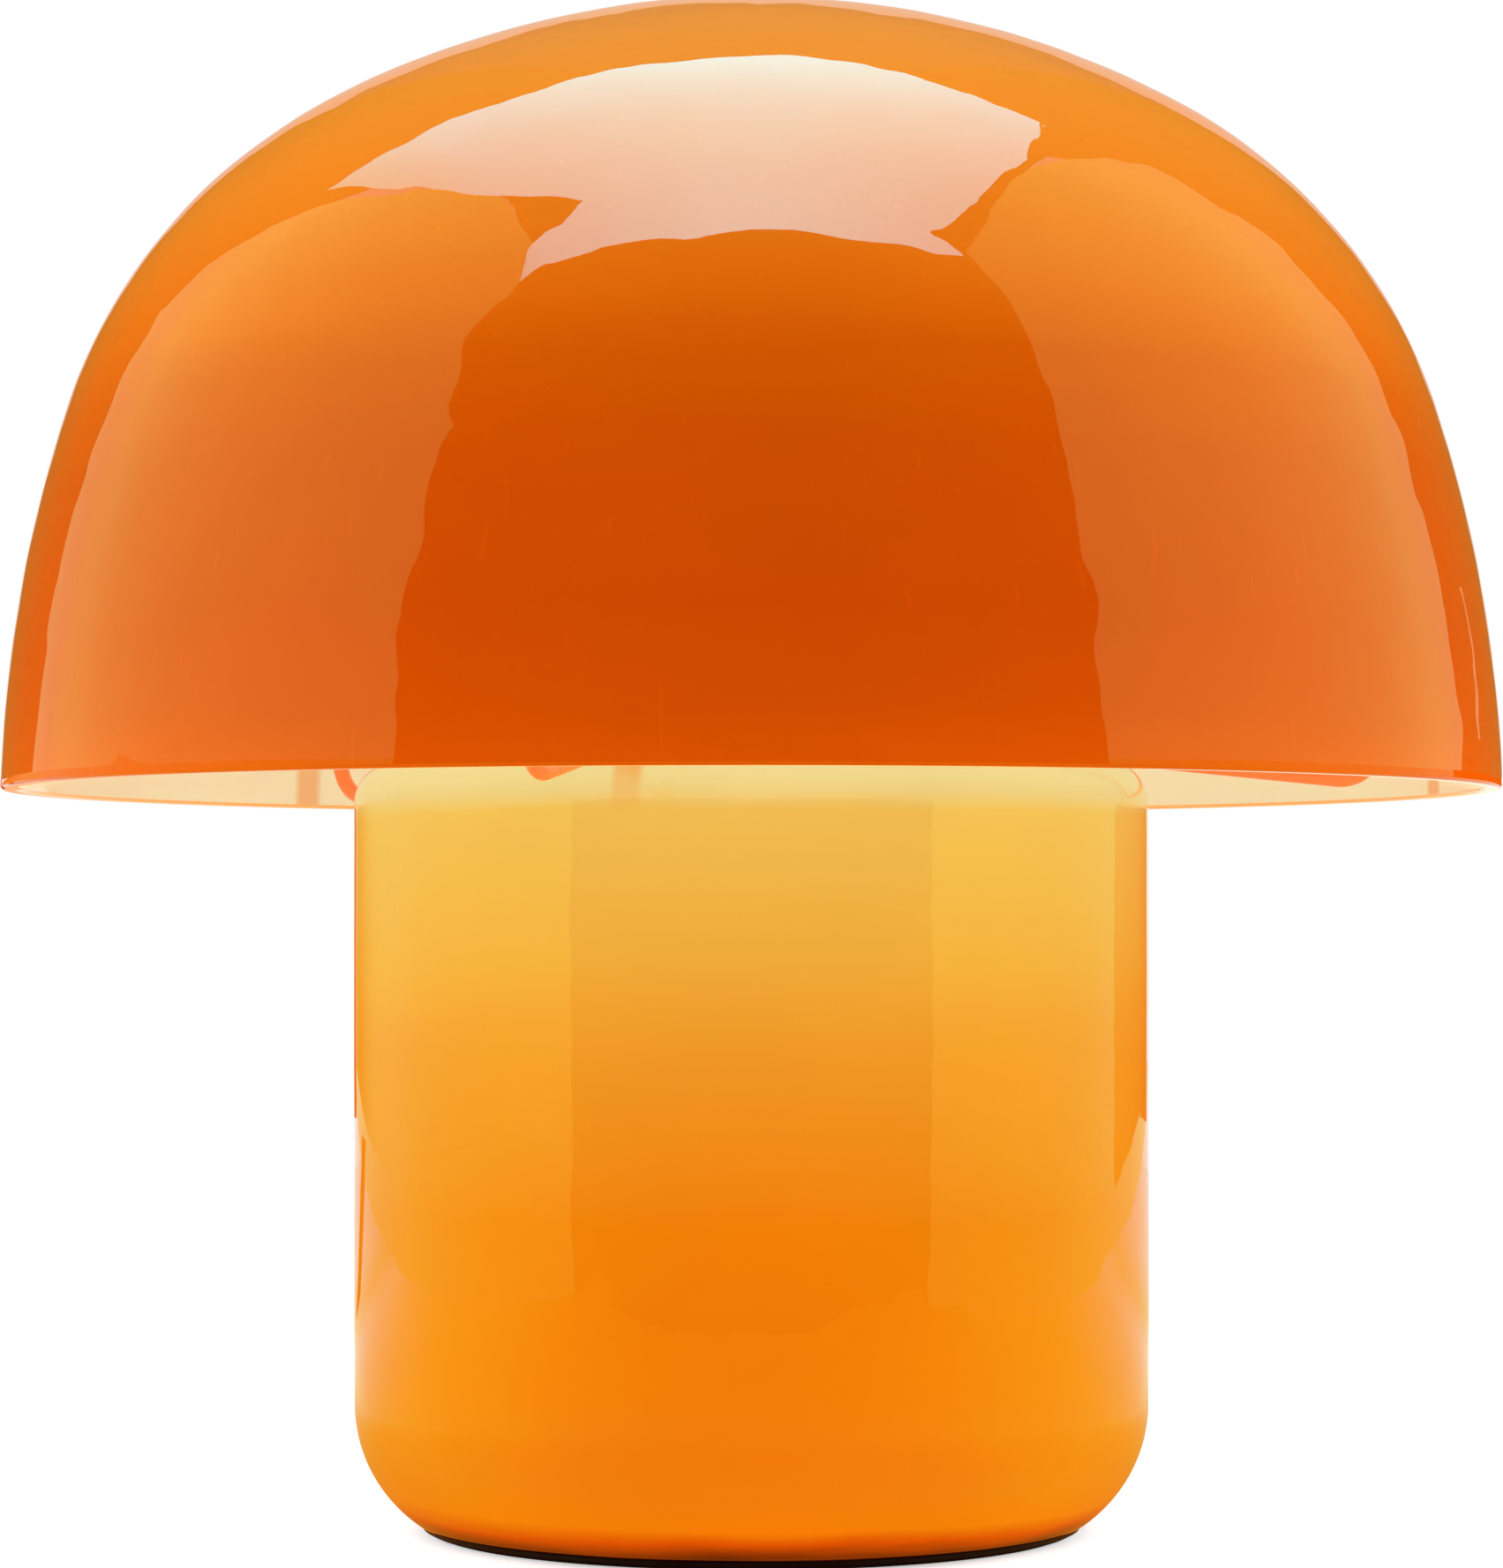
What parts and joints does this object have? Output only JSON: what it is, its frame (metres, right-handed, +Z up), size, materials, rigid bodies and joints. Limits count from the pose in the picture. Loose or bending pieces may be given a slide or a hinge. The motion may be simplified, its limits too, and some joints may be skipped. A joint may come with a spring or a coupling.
{
  "type": "mushroom table lamp",
  "caption": "Mushroom-shaped table lamp: a blown glass dome lifts off bent wire arms above a rounded cylindrical glass base with a screw-in bulb.",
  "frame": {"origin": "centre of the foot's underside, on the table", "axes": "+Z up, +X to the right seen from the front, +Y to the back, where the cable inlet is"},
  "size_m": [0.35, 0.35, 0.3574],
  "materials": {
    "black_rubber": "matt black soft pad",
    "black_paint": "satin black powder coat on steel",
    "grey_rubber": "matt grey gasket",
    "base_glass": "glossy blown glass, clear over orange over opal white",
    "shade_glass": "glossy blown glass, clear over deep orange over opal white",
    "black_plastic": "fine-grained black nylon",
    "zinc_steel": "zinc-plated steel",
    "brass": "turned brass",
    "white_plastic": "moulded white thermoset",
    "porcelain": "unglazed technical porcelain",
    "bronze": "spring bronze strip",
    "orange_paint": "warm orange powder coat on steel wire",
    "clear_silicone": "milky silicone",
    "opal_bulb": "satin opal glass",
    "nickel": "nickel-plated brass",
    "black_glass": "glossy black glass",
    "solder": "dull tinned contact",
    "stem_glass": "clear glass",
    "filament": "yellow phosphor coating"
  },
  "bodies": {
    "frame": {"foot_pad": "black_rubber", "foot_plate": "black_paint", "glass_gasket": "grey_rubber", "base_glass": "base_glass", "cable_gland": "black_plastic", "gland_nut": "black_plastic", "plate_washer": "zinc_steel", "plate_nut": "brass", "earth_tag": "brass", "lock_nut": "brass", "threaded_tube": "zinc_steel", "holder_cap": "white_plastic", "grub_screw": "zinc_steel", "holder_shell": "white_plastic", "contact_block": "porcelain", "centre_contact": "bronze", "terminal_screws": "brass", "screw_sleeve": "brass", "clamp_ring_lower": "white_plastic", "clamp_ring_upper": "white_plastic", "carrier_ring": "orange_paint", "arm_right": "orange_paint", "arm_left": "orange_paint", "arm_front": "orange_paint", "sleeve_right": "clear_silicone", "sleeve_left": "clear_silicone", "sleeve_front": "clear_silicone", "tip_right": "clear_silicone", "tip_left": "clear_silicone", "tip_front": "clear_silicone"},
    "bulb": {"bulb_globe": "opal_bulb", "bulb_cap": "nickel", "bulb_insulator": "black_glass", "bulb_contact": "solder", "bulb_stem": "stem_glass", "filament_wires": "nickel", "led_filaments": "filament"},
    "shade": {"shade_glass": "shade_glass"}
  },
  "joints": [
    {"name": "shade_lift", "type": "slide", "parent": "frame", "child": "shade", "axis": [0, 0, 1], "range_m": [0, 0.13]},
    {"name": "bulb_lift", "type": "slide", "parent": "frame", "child": "bulb", "axis": [0, 0, 1], "range_m": [0, 0.03]}
  ]
}
